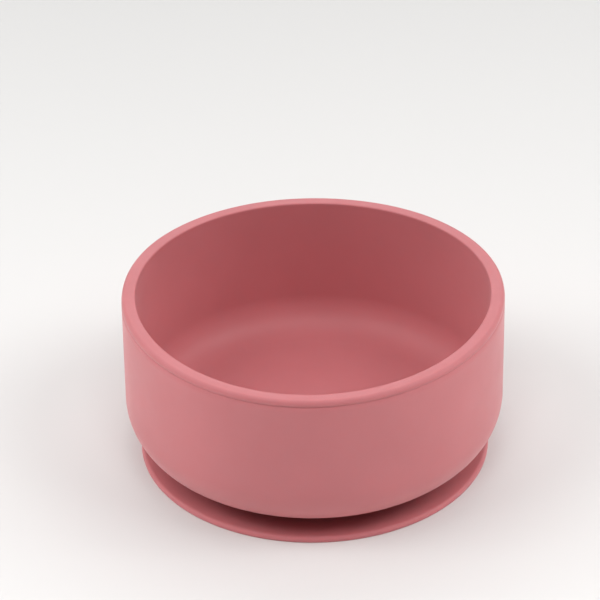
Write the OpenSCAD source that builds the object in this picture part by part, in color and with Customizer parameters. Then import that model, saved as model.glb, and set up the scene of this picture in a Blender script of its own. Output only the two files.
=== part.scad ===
// Silicone suction bowl for a baby's table.
//
// A straight-walled bowl stands on a thin, dished suction foot. The hub in the middle of the foot
// is keyed into the bowl's underside, the skirt around the hub seals on the table, and a tab at
// the back peels the skirt off. Everything but the tab is turned about the Z axis.
// +Z is up and +Y is the back. The origin is on the table, on the bowl's axis.

/* [Bowl] */
// Outside diameter of the bowl
bowl_d = 125; // [116:1:150]
// Height of the rim above the table
bowl_h = 58; // [45:0.5:75]
// Thickness of the side wall
wall = 4.6; // [3:0.1:6]
// Thickness of the floor
floor_t = 3.6; // [3:0.1:6]
// Gap between the table and the bowl's flat underside
lift = 5.5; // [5.3:0.1:9]
// Radius of the outer corner between wall and underside
outer_corner = 15.5; // [8:0.5:18]
// Radius of the inner corner between wall and floor
inner_corner = 12; // [6:0.5:18]

/* [Rim] */
// Radius of the rim's outer edge
rim_outer_edge = 1.4; // [0.4:0.1:1.6]
// Radius of the rim's inner edge
rim_inner_edge = 0.6; // [0.3:0.1:1.2]

/* [Suction foot] */
// Diameter of the skirt
skirt_d = 116; // [100:1:116]
// Thickness of the skirt's edge
lip_t = 1.9; // [1.4:0.1:2.2]
// Width of the flat ring that seals on the table
seal_w = 5; // [3:0.5:8]
// How far the bowl sinks as the foot flattens
press_travel = 1.6; // [0.8:0.1:1.8]
// Diameter of the hub's neck
neck_d = 56; // [40:1:60]
// Widest diameter of the plug that keys the hub into the bowl
plug_d = 62; // [60:1:66]
// Height of the plug
plug_h = 1.4; // [1:0.1:1.8]

/* [Release tab] */
// Width of the tab
tab_w = 16; // [10:1:22]
// How far the tab stands out past the skirt
tab_reach = 10; // [6:0.5:14]
// Thickness of the tab
tab_t = 1.7; // [1.2:0.1:1.8]

/* [Hidden] */
$fn = 120;

silicone = [0.76, 0.45, 0.47];

clearance = 0.1;                              // air between two pieces that fit together
overcut = 1;                                  // how far a cut runs past the surface it opens

bowl_r = bowl_d / 2;
cavity_r = bowl_r - wall;
floor_z = lift + floor_t;

skirt_r = skirt_d / 2;
seal_r = skirt_r - seal_w;                    // inner radius of the sealing ring
hollow_h = press_travel + 0.4;                // air under the hub, so that it can't touch the table
skirt_top = lift - press_travel - 0.2;        // the skirt's inner edge, just clear of the sunk bowl
lip_top_edge = 1.2;                           // radius of the lip's upper edge
lip_low_edge = 0.4;                           // radius of the lip's lower edge

neck_r = neck_d / 2;
plug_r = plug_d / 2;
plug_undercut = 1;                            // how much narrower the plug is at its mouth
skirt_bore_r = neck_r + clearance;

tab_r = tab_w / 2;
tab_edge = tab_t / 2;                         // radius of the rounded root that the tab turns on
tab_lift = 0.1;                               // air under the tab
tab_root_y = skirt_r + clearance + tab_edge;
tab_tip_y = skirt_r + tab_reach;

// What rounding takes off a square corner at the origin that fills -X and -Y
module corner_waste(radius) {
    difference() {
        translate([-radius, -radius]) square(radius + overcut);
        translate([-radius, -radius]) circle(r = radius);
    }
}

// Half section of the dovetail plug, grown outwards and upwards by a margin
module plug_section(margin) {
    polygon([
        [0, lift],
        [plug_r - plug_undercut + margin, lift],
        [plug_r + margin, lift + plug_h + margin],
        [0, lift + plug_h + margin]
    ]);
}

// Half section of the space that holds the food
module cavity_section() {
    difference() {
        translate([0, floor_z]) square([cavity_r, bowl_h - floor_z + overcut]);
        translate([cavity_r, floor_z]) mirror([0, 1]) corner_waste(inner_corner);
    }
}

module bowl_section() {
    difference() {
        translate([0, lift]) square([bowl_r, bowl_h - lift]);
        translate([bowl_r, lift]) mirror([0, 1]) corner_waste(outer_corner);
        translate([bowl_r, bowl_h]) corner_waste(rim_outer_edge);
        translate([cavity_r, bowl_h]) mirror([1, 0]) corner_waste(rim_inner_edge);
        cavity_section();
        plug_section(clearance);
    }
}

module skirt_section() {
    difference() {
        polygon([
            [skirt_bore_r, hollow_h],
            [seal_r, 0],
            [skirt_r, 0],
            [skirt_r, lip_t],
            [seal_r, lip_t],
            [skirt_bore_r, skirt_top]
        ]);
        translate([skirt_r, lip_t]) corner_waste(lip_top_edge);
        translate([skirt_r, 0]) mirror([0, 1]) corner_waste(lip_low_edge);
    }
}

// The bowl, with the socket for the hub in its underside
module bowl_shell() {
    color(silicone) rotate_extrude() bowl_section();
}

// The thick middle of the foot, with a flat hollow between it and the table
module foot_hub() {
    color(silicone)
        rotate_extrude() {
            plug_section(0);
            translate([0, hollow_h]) square([neck_r, lift - hollow_h]);
        }
}

// The thin dished washer around the hub, which lies on the table on its outer ring
module suction_skirt() {
    color(silicone) rotate_extrude() skirt_section();
}

// Outline of the tab seen from above: a round-ended tongue, cut off square where it turns
module tab_outline() {
    intersection() {
        union() {
            translate([0, tab_tip_y - tab_r]) circle(r = tab_r);
            translate([-tab_r, 0]) square([tab_w, tab_tip_y - tab_r]);
        }
        translate([-tab_r, tab_root_y]) square([tab_w, tab_reach]);
    }
}

// The tongue that is pulled up to let air under the skirt, with a rounded root that it turns on
module release_tab() {
    color(silicone)
        translate([0, 0, tab_lift]) {
            linear_extrude(tab_t) tab_outline();
            translate([-tab_r, tab_root_y, tab_edge]) rotate([0, 90, 0]) cylinder(r = tab_edge, h = tab_w);
        }
}

bowl_shell();
foot_hub();
suction_skirt();
release_tab();
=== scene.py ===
import math

import bmesh
import bpy
from mathutils import Euler, Matrix, Vector, noise


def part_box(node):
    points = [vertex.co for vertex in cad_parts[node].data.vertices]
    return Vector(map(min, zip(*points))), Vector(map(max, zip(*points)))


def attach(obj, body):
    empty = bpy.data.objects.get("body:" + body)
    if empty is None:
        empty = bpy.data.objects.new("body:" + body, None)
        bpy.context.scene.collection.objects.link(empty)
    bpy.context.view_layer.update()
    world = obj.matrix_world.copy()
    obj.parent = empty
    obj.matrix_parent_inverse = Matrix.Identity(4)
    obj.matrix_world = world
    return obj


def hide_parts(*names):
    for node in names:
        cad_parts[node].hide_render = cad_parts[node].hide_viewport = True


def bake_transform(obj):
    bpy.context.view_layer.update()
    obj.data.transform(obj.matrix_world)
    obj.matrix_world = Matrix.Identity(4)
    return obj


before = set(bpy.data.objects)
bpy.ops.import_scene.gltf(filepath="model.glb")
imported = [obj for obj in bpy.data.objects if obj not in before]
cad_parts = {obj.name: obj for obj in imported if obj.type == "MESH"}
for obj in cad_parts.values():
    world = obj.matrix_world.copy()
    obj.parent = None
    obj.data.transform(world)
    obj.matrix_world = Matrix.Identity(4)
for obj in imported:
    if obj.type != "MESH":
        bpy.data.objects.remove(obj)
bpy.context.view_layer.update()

# Sizes are in metres. Those that the CAD boxes give are read from them, and the rest are named here.
MM = 0.001

shell_low, shell_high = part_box("bowl_shell")
hub_low, hub_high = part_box("foot_hub")
skirt_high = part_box("suction_skirt")[1]
tab_low, tab_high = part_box("release_tab")

RIM_R = shell_high.x
RIM_Z = shell_high.z
UNDERSIDE_Z = shell_low.z
WALL = 4.6 * MM
FLOOR_T = 3.6 * MM
OUTER_CORNER = 15.5 * MM
INNER_CORNER = 12 * MM
RIM_OUTER_EDGE = 1.4 * MM
RIM_INNER_EDGE = 0.5 * MM
RIM_CROWN = 0.06 * MM              # how far the middle of the rim's top stands above its edges
RIM_LEAN = 9                       # slope of the rim's side above the parting line, in degrees
PARTING_DROP = 2.05 * MM           # from the rim's top down to the mould's parting line
PARTING_W = 0.42 * MM
PARTING_DEPTH = 0.22 * MM
SAG = 0.0128                       # how far the soft rim strays from round, as a share of its radius
SAG_TURN = math.radians(4)         # from the back towards the right, to the middle of one flat side

PLUG_R = hub_high.x
PLUG_TOP = hub_high.z
PLUG_UNDERCUT = 1.0 * MM
BOND_GAP = 0.1 * MM
NECK_R = 28 * MM
NECK_FILLET = 0.7 * MM
HOLLOW_Z = hub_low.z

SKIRT_R = skirt_high.x
SKIRT_TOP = skirt_high.z
LIP_T = 1.9 * MM
SEAL_W = 5 * MM
LIP_TOP_EDGE = 1.2 * MM
LIP_LOW_EDGE = 0.4 * MM

TAB_FLARE = 2.4 * MM               # radius of the hollow curve at each side of the tab's root
TAB_ROOT = 2.2 * MM                # how far the tab reaches into the lip
TAB_SINK = 0.1 * MM                # how far inside the lip's edge the hollow curves end
TAB_TOP_EDGE = 1.1 * MM
TAB_LOW_EDGE = 0.4 * MM
TAB_COLUMNS = 10                   # columns of faces across the tab

AROUND = 288                       # steps round a turned piece

SOFTBOX_SIZE = 0.45
SOFTBOX_DISTANCE = 0.95
BACKDROP = 0.85                    # how pale the camera sees what is behind the floor
FLOOR_SEEN = 0.66                  # how pale the camera sees the floor
FLOOR_BOUNCE = 0.88                # how pale the floor is to the light it bounces
MELT_FROM = 0.3                    # how far out the floor starts to melt into the backdrop
MELT_TO = 1.1

CLOUD_SIZE = 28 * MM               # blotches in the silicone's colour
PATCH_SIZE = 12 * MM               # patches of its roughness
WAVE_SIZE = 7 * MM                 # faint unevenness from the mould's filling
WAVE_HEIGHT = 0.05 * MM
EDGE_PATCH_SIZE = 5 * MM           # patches of the painted edge light and shade
GRAIN_SIZE = 0.35 * MM             # the mould's blasted finish
SKIN_DEPTH = 1.0 * MM              # how deep red light goes into the silicone
FLOOR_CLOUD_SIZE = 300 * MM


# ---------------------------------------------------------------- outlines and meshes

def arc(centre_u, centre_v, radius, start, end, steps):
    """Points along an arc in any plane. Angles are in degrees, from the first axis towards the second."""
    points = []
    for i in range(steps + 1):
        angle = math.radians(start + (end - start) * i / steps)
        points.append((centre_u + radius * math.cos(angle), centre_v + radius * math.sin(angle)))
    return points


def stretch(start, end, steps):
    """Points inside a straight stretch, without its two ends."""
    return [
        (start[0] + (end[0] - start[0]) * i / steps, start[1] + (end[1] - start[1]) * i / steps)
        for i in range(1, steps)
    ]


def joined(*runs):
    """One outline from several runs of points, with points that repeat left out."""
    outline = []
    for run in runs:
        for point in run:
            if not outline or math.dist(point, outline[-1]) > 1e-7:
                outline.append(point)
    return outline


def link(name, mesh):
    piece = bpy.data.objects.new(name, mesh)
    bpy.context.scene.collection.objects.link(piece)
    return piece


def turned(name, outline):
    """A closed surface of revolution. The outline starts and ends on the Z axis."""
    made = bmesh.new()
    rings = []
    for radius, height in outline:
        if radius < 1e-7:
            rings.append([made.verts.new((0, 0, height))])
            continue
        ring = []
        for i in range(AROUND):
            angle = 2 * math.pi * i / AROUND
            ring.append(made.verts.new((radius * math.cos(angle), radius * math.sin(angle), height)))
        rings.append(ring)
    for lower, upper in zip(rings, rings[1:]):
        for i in range(AROUND):
            j = (i + 1) % AROUND
            if len(lower) == 1:
                corners = (lower[0], upper[j], upper[i])
            elif len(upper) == 1:
                corners = (lower[i], lower[j], upper[0])
            else:
                corners = (lower[i], lower[j], upper[j], upper[i])
            made.faces.new(corners)
    bmesh.ops.recalc_face_normals(made, faces=made.faces)
    for face in made.faces:
        face.smooth = True
    mesh = bpy.data.meshes.new(name)
    made.to_mesh(mesh)
    made.free()
    return link(name, mesh)


def soften(piece, reach, wave, seed):
    """Pushes the surface in and out a little, as soft mouldings never come out perfectly true."""
    offset = Vector((seed, seed * 2, seed * 3))
    moves = [
        v.normal * reach * noise.noise(v.co / wave + offset)
        for v in piece.data.vertices
    ]
    for v, move in zip(piece.data.vertices, moves):
        v.co += move


def mark_edge(piece, nearness):
    """Stores how near each point is to an edge, from 0 to 1, for the material's painted edge light and shade.

    nearness is a function of radius and height.
    """
    layer = piece.data.attributes.new("painted_edge_shading", "FLOAT", "POINT")
    for v, value in zip(piece.data.vertices, layer.data):
        value.value = min(max(nearness(math.hypot(v.co.x, v.co.y), v.co.z), 0), 1)


def stray_from_round(piece, low_z, high_z):
    """Pulls a soft wall slightly three-sided, from nothing at its foot to the whole of SAG at its rim."""
    for v in piece.data.vertices:
        rise = min(max((v.co.z - low_z) / (high_z - low_z), 0), 1)
        turn = math.atan2(v.co.x, v.co.y) - SAG_TURN
        factor = 1 - SAG * rise * math.cos(3 * turn)
        v.co.x *= factor
        v.co.y *= factor


# ---------------------------------------------------------------- materials

def add(tree, kind, **settings):
    """A shader node with its properties set."""
    node = tree.nodes.new(kind)
    for key, value in settings.items():
        setattr(node, key, value)
    return node


def maths(tree, operation, first, second):
    """A maths node on two values, each of which is a number or another node's output."""
    node = add(tree, "ShaderNodeMath", operation=operation)
    for socket, value in zip(node.inputs, (first, second)):
        if isinstance(value, float):
            socket.default_value = value
        else:
            tree.links.new(value, socket)
    return node.outputs[0]


def noise_at(tree, place, size, detail, roughness=0.5):
    """Noise whose blotches are about size metres across."""
    texture = add(tree, "ShaderNodeTexNoise")
    texture.inputs["Scale"].default_value = 1 / size
    texture.inputs["Detail"].default_value = detail
    texture.inputs["Roughness"].default_value = roughness
    tree.links.new(place, texture.inputs["Vector"])
    return texture.outputs["Fac"]


def ranged(tree, value, low, high, source_low=0.3, source_high=0.7):
    """Maps a noise value's usual span to low..high."""
    node = add(tree, "ShaderNodeMapRange")
    node.inputs["From Min"].default_value = source_low
    node.inputs["From Max"].default_value = source_high
    node.inputs["To Min"].default_value = low
    node.inputs["To Max"].default_value = high
    tree.links.new(value, node.inputs["Value"])
    return node.outputs["Result"]


def silicone(name, colour, painted_edge_shading, rough_low, rough_high, grain_height):
    """Matte moulded silicone: slightly cloudy colour, soft skin sheen, and a very fine blasted grain.

    The edge value is how bright the colour is along the marked edge, as a share of what it is elsewhere:
    below 1 it paints shade there, above 1 it paints light. It is fitted, and corrects how these lights fall
    on that edge.
    """
    material = bpy.data.materials.new(name)
    material.use_nodes = True
    tree = material.node_tree
    tree.nodes.clear()
    place = add(tree, "ShaderNodeTexCoord").outputs["Object"]
    shader = add(tree, "ShaderNodeBsdfPrincipled")
    output = add(tree, "ShaderNodeOutputMaterial")
    tree.links.new(shader.outputs["BSDF"], output.inputs["Surface"])

    # Colour: pigment clouds, then painted edge light and shade in uneven patches along the marked edge
    clouds = ranged(tree, noise_at(tree, place, CLOUD_SIZE, 3), 0.965, 1.035)
    tint = add(tree, "ShaderNodeVectorMath", operation="SCALE")
    tint.inputs[0].default_value = colour
    tree.links.new(clouds, tint.inputs["Scale"])
    marked = add(tree, "ShaderNodeAttribute", attribute_name="painted_edge_shading").outputs["Fac"]
    uneven = ranged(tree, noise_at(tree, place, EDGE_PATCH_SIZE, 4), 0.6, 1.0)
    share = maths(tree, "MULTIPLY", marked, uneven)
    toned = add(tree, "ShaderNodeMix", data_type="RGBA")
    toned.inputs["B"].default_value = (*[painted_edge_shading * c for c in colour], 1)
    tree.links.new(share, toned.inputs["Factor"])
    tree.links.new(tint.outputs["Vector"], toned.inputs["A"])
    tree.links.new(toned.outputs["Result"], shader.inputs["Base Color"])

    # Surface: roughness in soft patches, a faint flow waviness and a fine grain
    patches = ranged(tree, noise_at(tree, place, PATCH_SIZE, 4), rough_low, rough_high)
    tree.links.new(patches, shader.inputs["Roughness"])
    waves = add(tree, "ShaderNodeBump")
    waves.inputs["Strength"].default_value = 0.35
    waves.inputs["Distance"].default_value = WAVE_HEIGHT
    tree.links.new(noise_at(tree, place, WAVE_SIZE, 2), waves.inputs["Height"])
    grain = add(tree, "ShaderNodeBump")
    grain.inputs["Strength"].default_value = 0.5
    grain.inputs["Distance"].default_value = grain_height
    tree.links.new(noise_at(tree, place, GRAIN_SIZE, 3, 0.6), grain.inputs["Height"])
    tree.links.new(waves.outputs["Normal"], grain.inputs["Normal"])
    tree.links.new(grain.outputs["Normal"], shader.inputs["Normal"])

    shader.inputs["Specular IOR Level"].default_value = 0.4
    shader.inputs["IOR"].default_value = 1.41
    shader.inputs["Subsurface Weight"].default_value = 0.25
    shader.inputs["Subsurface Radius"].default_value = (1.0, 0.35, 0.3)
    shader.inputs["Subsurface Scale"].default_value = SKIN_DEPTH
    shader.inputs["Sheen Weight"].default_value = 0.12
    shader.inputs["Sheen Roughness"].default_value = 0.5
    shader.inputs["Sheen Tint"].default_value = (1.0, 0.82, 0.82, 1)
    return material


def seen_or_lighting(tree, seen, lighting):
    """One value where the camera looks straight at something, and another where it only lights the object."""
    straight = add(tree, "ShaderNodeLightPath").outputs["Is Camera Ray"]
    pick = add(tree, "ShaderNodeMix")
    tree.links.new(straight, pick.inputs["Factor"])
    for socket, value in ((pick.inputs["A"], lighting), (pick.inputs["B"], seen)):
        if isinstance(value, float):
            socket.default_value = value
        else:
            tree.links.new(value, socket)
    return pick.outputs["Result"]


def paper(name, colour, seen, lighting):
    """The studio floor: matte, almost even, and paler to the light it bounces than to the camera.

    Far from the object the camera sees it melt into the backdrop, as on a roll of studio paper.
    """
    material = bpy.data.materials.new(name)
    material.use_nodes = True
    tree = material.node_tree
    shader = tree.nodes["Principled BSDF"]
    place = add(tree, "ShaderNodeTexCoord").outputs["Object"]
    clouds = ranged(tree, noise_at(tree, place, FLOOR_CLOUD_SIZE, 2), 0.985, 1.0)
    tint = add(tree, "ShaderNodeVectorMath", operation="SCALE")
    tint.inputs[0].default_value = colour
    shade = maths(tree, "MULTIPLY", clouds, seen_or_lighting(tree, seen, lighting))
    tree.links.new(shade, tint.inputs["Scale"])
    tree.links.new(tint.outputs["Vector"], shader.inputs["Base Color"])
    shader.inputs["Roughness"].default_value = 0.9

    far = add(tree, "ShaderNodeVectorMath", operation="LENGTH")
    tree.links.new(place, far.inputs[0])
    melting = add(tree, "ShaderNodeMapRange", interpolation_type="SMOOTHSTEP")
    melting.inputs["From Min"].default_value = MELT_FROM
    melting.inputs["From Max"].default_value = MELT_TO
    tree.links.new(far.outputs["Value"], melting.inputs["Value"])
    glow = add(tree, "ShaderNodeEmission")
    glow.inputs["Color"].default_value = (BACKDROP, BACKDROP, BACKDROP, 1)
    blend = add(tree, "ShaderNodeMixShader")
    tree.links.new(seen_or_lighting(tree, melting.outputs["Result"], 0.0), blend.inputs["Fac"])
    tree.links.new(shader.outputs["BSDF"], blend.inputs[1])
    tree.links.new(glow.outputs["Emission"], blend.inputs[2])
    tree.links.new(blend.outputs["Shader"], tree.nodes["Material Output"].inputs["Surface"])
    return material


PINK = (0.50, 0.157, 0.169)
# Painted edge light and shade: 0.88 paints the bowl's rim top darker, 1.10 paints the foot's lip and the
# tab's tip paler
bowl_silicone = silicone("bowl_silicone", PINK, 0.88, 0.46, 0.54, 0.012 * MM)
foot_silicone = silicone("foot_silicone", PINK, 1.10, 0.46, 0.54, 0.012 * MM)
seal_silicone = silicone("seal_silicone", PINK, 1.0, 0.22, 0.30, 0.002 * MM)


# ---------------------------------------------------------------- the bowl

def bowl():
    """The bowl with its crowned rim, the mould's parting line and the socket in its underside."""
    cavity_r = RIM_R - WALL
    floor_z = UNDERSIDE_Z + FLOOR_T
    wall_foot = UNDERSIDE_Z + OUTER_CORNER
    parting_z = RIM_Z - PARTING_DROP
    socket_r = PLUG_R + BOND_GAP
    socket_top = PLUG_TOP + BOND_GAP
    mouth_r = socket_r - PLUG_UNDERCUT

    underside = [
        (0, socket_top),
        *stretch((0, socket_top), (socket_r, socket_top), 6),
        (socket_r, socket_top),
        (mouth_r, UNDERSIDE_Z),
        *stretch((mouth_r, UNDERSIDE_Z), (RIM_R - OUTER_CORNER, UNDERSIDE_Z), 6),
    ]
    corner = arc(RIM_R - OUTER_CORNER, wall_foot, OUTER_CORNER, -90, 0, 24)
    wall = stretch((RIM_R, wall_foot), (RIM_R, parting_z - 0.5 * PARTING_W), 16)
    parting = [
        (RIM_R, parting_z - 0.5 * PARTING_W),
        (RIM_R - 0.3 * PARTING_DEPTH, parting_z - 0.35 * PARTING_W),
        (RIM_R - PARTING_DEPTH, parting_z + 0.1 * PARTING_W),
        (RIM_R - 0.8 * PARTING_DEPTH, parting_z + 0.3 * PARTING_W),
        (RIM_R, parting_z + 0.5 * PARTING_W),
    ]
    edge_z = RIM_Z - RIM_CROWN
    lean = math.radians(RIM_LEAN)
    side_drop = edge_z - RIM_OUTER_EDGE * (1 - math.sin(lean)) - parting[-1][1]
    edge_r = RIM_R - side_drop * math.tan(lean) - RIM_OUTER_EDGE * math.cos(lean)
    outer_edge = arc(edge_r, edge_z - RIM_OUTER_EDGE, RIM_OUTER_EDGE, RIM_LEAN, 90, 10)
    inner_edge = arc(cavity_r + RIM_INNER_EDGE, edge_z - RIM_INNER_EDGE, RIM_INNER_EDGE, 90, 180, 6)
    crown_from, crown_to = outer_edge[-1], inner_edge[0]
    crown = [
        (crown_from[0] + (crown_to[0] - crown_from[0]) * t, edge_z + RIM_CROWN * math.sin(math.pi * t))
        for t in (i / 6 for i in range(1, 6))
    ]
    inner_wall = stretch((cavity_r, edge_z - RIM_INNER_EDGE), (cavity_r, floor_z + INNER_CORNER), 16)
    inner_corner = arc(cavity_r - INNER_CORNER, floor_z + INNER_CORNER, INNER_CORNER, 0, -90, 24)
    floor = [*stretch((cavity_r - INNER_CORNER, floor_z), (0, floor_z), 14), (0, floor_z)]

    piece = turned("bowl_skin", joined(
        underside, corner, wall, parting, outer_edge, crown, inner_edge, inner_wall, inner_corner, floor,
    ))
    # Painted shade: the top of the rim is darkened in the colour
    mark_edge(piece, lambda radius, height: 1 - (RIM_Z - height) / (0.8 * RIM_OUTER_EDGE))
    stray_from_round(piece, floor_z, RIM_Z)
    soften(piece, reach=0.06 * MM, wave=26 * MM, seed=3)
    piece.data.materials.append(bowl_silicone)
    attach(piece, "bowl")
    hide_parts("bowl_shell")
    return piece


# ---------------------------------------------------------------- the suction foot

def blend_by_radius(piece):
    """Moves each point of a turned piece out to its distance from the axis, bakes the piece's transform, and
    puts each point back where it was.
    """
    vertices = piece.data.vertices
    places = [v.co.copy() for v in vertices]
    for v in vertices:
        v.co = (math.hypot(v.co.x, v.co.y), 0, 0)
    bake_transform(piece)
    for v, place in zip(vertices, places):
        v.co = place


def foot():
    """The hub and the dished skirt as the one soft moulding that they are."""
    seal_r = SKIRT_R - SEAL_W
    skirt_root = NECK_R + NECK_FILLET

    hollow = [
        (0, HOLLOW_Z),
        *stretch((0, HOLLOW_Z), (NECK_R, HOLLOW_Z), 8),
        (NECK_R, HOLLOW_Z),
        *stretch((NECK_R, HOLLOW_Z), (seal_r, 0), 12),
    ]
    seal = [
        (seal_r, 0),
        *stretch((seal_r, 0), (SKIRT_R - LIP_LOW_EDGE, 0), 4),
    ]
    lip = joined(
        arc(SKIRT_R - LIP_LOW_EDGE, LIP_LOW_EDGE, LIP_LOW_EDGE, -90, 0, 4),
        arc(SKIRT_R - LIP_TOP_EDGE, LIP_T - LIP_TOP_EDGE, LIP_TOP_EDGE, 0, 90, 8),
    )
    top = [
        *stretch((SKIRT_R - LIP_TOP_EDGE, LIP_T), (seal_r, LIP_T), 4),
        (seal_r, LIP_T),
        *stretch((seal_r, LIP_T), (skirt_root, SKIRT_TOP), 12),
    ]
    neck = [
        *arc(skirt_root, SKIRT_TOP + NECK_FILLET, NECK_FILLET, -90, -180, 6),
        (NECK_R, UNDERSIDE_Z),
    ]
    plug = [
        (PLUG_R - PLUG_UNDERCUT, UNDERSIDE_Z),
        (PLUG_R, PLUG_TOP),
        *stretch((PLUG_R, PLUG_TOP), (0, PLUG_TOP), 6),
        (0, PLUG_TOP),
    ]
    piece = turned("foot_skin", joined(hollow, seal, lip, top, neck, plug))
    piece.data.materials.append(foot_silicone)
    piece.data.materials.append(seal_silicone)
    # The underside is smoother and glossier than the rest, to seal on the table
    for face in piece.data.polygons:
        if face.normal.z < -0.9 and face.center.z < HOLLOW_Z + 0.1 * MM:
            face.material_index = 1
    # Painted light: the lip's rounded outer edge is made paler in the colour
    mark_edge(piece, lambda radius, height: 1 - (SKIRT_R - radius) / LIP_TOP_EDGE)
    blend_by_radius(piece)
    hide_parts("foot_hub", "suction_skirt")
    return piece


# ---------------------------------------------------------------- the release tab

def inset(side, distance):
    """Moves the tab's half outline inwards. It runs up the right side and ends on the middle line."""
    last = len(side) - 1
    moved = []
    for i, (x, y) in enumerate(side):
        before = side[max(i - 1, 0)]
        after = side[i + 1] if i < last else (-before[0], before[1])
        along = Vector((after[0] - before[0], after[1] - before[1])).normalized()
        moved.append((x - distance * along.y, y + distance * along.x))
    return moved


def tab_side():
    """Right half of the tab's outline.

    It starts with a root and a heel inside the lip, leaves the lip's edge on a flare, and ends at the tip.
    """
    half_w = tab_high.x
    flare_x = half_w + TAB_FLARE
    flare_y = math.sqrt((SKIRT_R - TAB_SINK + TAB_FLARE) ** 2 - flare_x ** 2)
    towards_axis = math.degrees(math.atan2(flare_y, flare_x)) - 180
    flare = arc(flare_x, flare_y, TAB_FLARE, towards_axis, -180, 8)
    along_edge = math.radians(towards_axis + 90)
    heel = (flare[0][0] + TAB_ROOT * math.cos(along_edge), flare[0][1] + TAB_ROOT * math.sin(along_edge))
    tip = arc(0, tab_high.y - half_w, half_w, 0, 90, 16)
    return joined(
        [(heel[0], SKIRT_R - TAB_ROOT), heel],
        flare,
        stretch(flare[-1], tip[0], 3),
        tip,
    )


def tab():
    """A rounded tongue that grows out of the skirt's edge on flared roots."""
    side = tab_side()
    low_z, high_z = tab_low.z, tab_high.z
    # Each layer's distance outwards from the tab's outline, which is 0 or less, and its height
    layers = joined(
        arc(-TAB_LOW_EDGE, low_z + TAB_LOW_EDGE, TAB_LOW_EDGE, -90, 0, 4),
        arc(-TAB_TOP_EDGE, high_z - TAB_TOP_EDGE, TAB_TOP_EDGE, 0, 90, 8),
    )
    made = bmesh.new()
    tip = len(side) - 1

    # One ring of corners on each layer, up the right side and down the left
    rings = []
    for out, z in layers:
        right = inset(side, -out)
        outline = right + [(-x, y) for x, y in reversed(right[:tip])]
        rings.append([made.verts.new((x, y, z)) for x, y in outline])
    for lower, upper in zip(rings, rings[1:]):
        for i in range(len(lower) - 1):
            made.faces.new((lower[i], lower[i + 1], upper[i + 1], upper[i]))

    # The flat faces are rows across the tab
    roots = []
    for ring in (rings[0], rings[-1]):
        rows = []
        for i in range(tip):
            right, left = ring[i], ring[-1 - i]
            middle = [
                made.verts.new(right.co.lerp(left.co, k / TAB_COLUMNS))
                for k in range(1, TAB_COLUMNS)
            ]
            rows.append([right, *middle, left])
        for near, far in zip(rows, rows[1:]):
            for k in range(TAB_COLUMNS):
                made.faces.new((near[k], near[k + 1], far[k + 1], far[k]))
        for k in range(TAB_COLUMNS):
            made.faces.new((rows[-1][k], rows[-1][k + 1], ring[tip]))
        roots.append(rows[0])
    # The flat end, inside the lip
    made.faces.new([
        *roots[0],
        *[ring[-1] for ring in rings[1:-1]],
        *reversed(roots[1]),
        *[ring[0] for ring in reversed(rings[1:-1])],
    ])
    bmesh.ops.recalc_face_normals(made, faces=made.faces)
    for face in made.faces:
        face.smooth = len(face.verts) < 5
    mesh = bpy.data.meshes.new("tab_skin")
    made.to_mesh(mesh)
    made.free()

    piece = link("tab_skin", mesh)
    piece.data.materials.append(foot_silicone)
    # Painted light: the tab's rounded tip is made paler in the colour
    mark_edge(piece, lambda radius, height: (radius - tab_high.y + TAB_TOP_EDGE) / TAB_TOP_EDGE)
    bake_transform(piece)
    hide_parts("release_tab")
    return piece


bowl()
foot()
tab()


# ---------------------------------------------------------------- stage, light and camera

def floor():
    made = bmesh.new()
    bmesh.ops.create_grid(made, x_segments=8, y_segments=8, size=3)
    mesh = bpy.data.meshes.new("studio_floor")
    made.to_mesh(mesh)
    made.free()
    piece = link("studio_floor", mesh)
    piece.data.materials.append(paper("studio_paper", (1.0, 0.988, 0.975), FLOOR_SEEN, FLOOR_BOUNCE))


def softbox(name, turn, rise, power):
    """A square area light, unseen by the camera. It is turned from the front and raised, both in degrees."""
    lamp = bpy.data.lights.new(name, "AREA")
    lamp.size = SOFTBOX_SIZE
    lamp.energy = power
    turn, rise = math.radians(turn), math.radians(rise)
    towards = Vector((math.sin(turn) * math.cos(rise), -math.cos(turn) * math.cos(rise), math.sin(rise)))
    holder = bpy.data.objects.new(name, lamp)
    holder.location = Vector((0, 0, 0.5 * RIM_Z)) + SOFTBOX_DISTANCE * towards
    holder.rotation_euler = (-towards).to_track_quat("-Z", "Y").to_euler()
    holder.visible_camera = False
    bpy.context.scene.collection.objects.link(holder)


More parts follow.
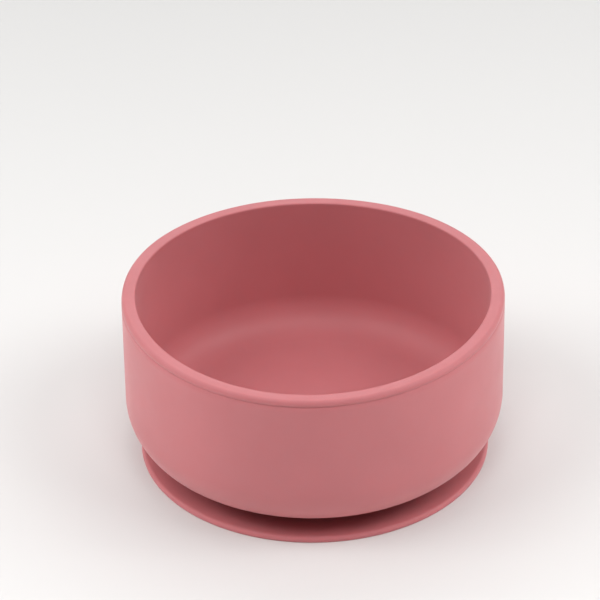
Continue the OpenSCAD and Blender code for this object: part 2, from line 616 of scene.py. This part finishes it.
def sky(back, sides):
    """The studio's bounced light: a white wall behind the table, and fainter side walls."""
    world = bpy.data.worlds.new("studio_air")
    world.use_nodes = True
    tree = world.node_tree
    direction = add(tree, "ShaderNodeSeparateXYZ")
    tree.links.new(add(tree, "ShaderNodeTexCoord").outputs["Generated"], direction.inputs[0])
    x, y, z = direction.outputs

    above_table = add(tree, "ShaderNodeMapRange", interpolation_type="SMOOTHSTEP")
    above_table.inputs["From Min"].default_value = 0.3
    above_table.inputs["From Max"].default_value = 0.6
    above_table.inputs["To Max"].default_value = back
    tree.links.new(z, above_table.inputs["Value"])
    from_back = maths(tree, "POWER", maths(tree, "MAXIMUM", y, 0.0), 2.0)
    back_wall = maths(tree, "MULTIPLY", from_back, above_table.outputs["Result"])
    side_walls = maths(tree, "MULTIPLY", maths(tree, "MULTIPLY", x, x), sides)
    background = tree.nodes["Background"]
    background.inputs["Color"].default_value = (1, 1, 1, 1)
    strength = seen_or_lighting(tree, BACKDROP, maths(tree, "ADD", back_wall, side_walls))
    tree.links.new(strength, background.inputs["Strength"])
    bpy.context.scene.world = world


def camera():
    """The camera stands in front of the bowl and looks down on it through a long lens."""
    distance, elevation, roll = 1.04, math.radians(33.7), math.radians(-0.907)
    tilt, pan = math.radians(1.262), math.radians(0.250)
    target = Vector((0, 0, 0.45 * RIM_R))
    back = Vector((0, -math.cos(elevation), math.sin(elevation)))
    eye = bpy.data.objects.new("camera", bpy.data.cameras.new("camera"))
    eye.data.lens = 188.7
    eye.data.sensor_width = 36
    facing = (-back).to_track_quat("-Z", "Y").to_matrix().to_4x4()
    eye.matrix_world = (
        Matrix.Translation(target + distance * back)
        @ facing
        @ Matrix.Rotation(roll, 4, "Z")
        @ Euler((tilt, pan, 0)).to_matrix().to_4x4()
    )
    eye.data.clip_start, eye.data.clip_end = 0.01, 20
    bpy.context.scene.collection.objects.link(eye)
    bpy.context.scene.camera = eye


floor()
sky(back=5.0, sides=0.47)
softbox("softbox_front", 0, 62, 3.1)
for side, word in ((-1, "left"), (1, "right")):
    softbox("softbox_high_" + word, side * 70, 50, 3.15)
    softbox("softbox_low_" + word, side * 95, 30, 2.1)
camera()
bpy.context.scene.view_settings.view_transform = "Standard"
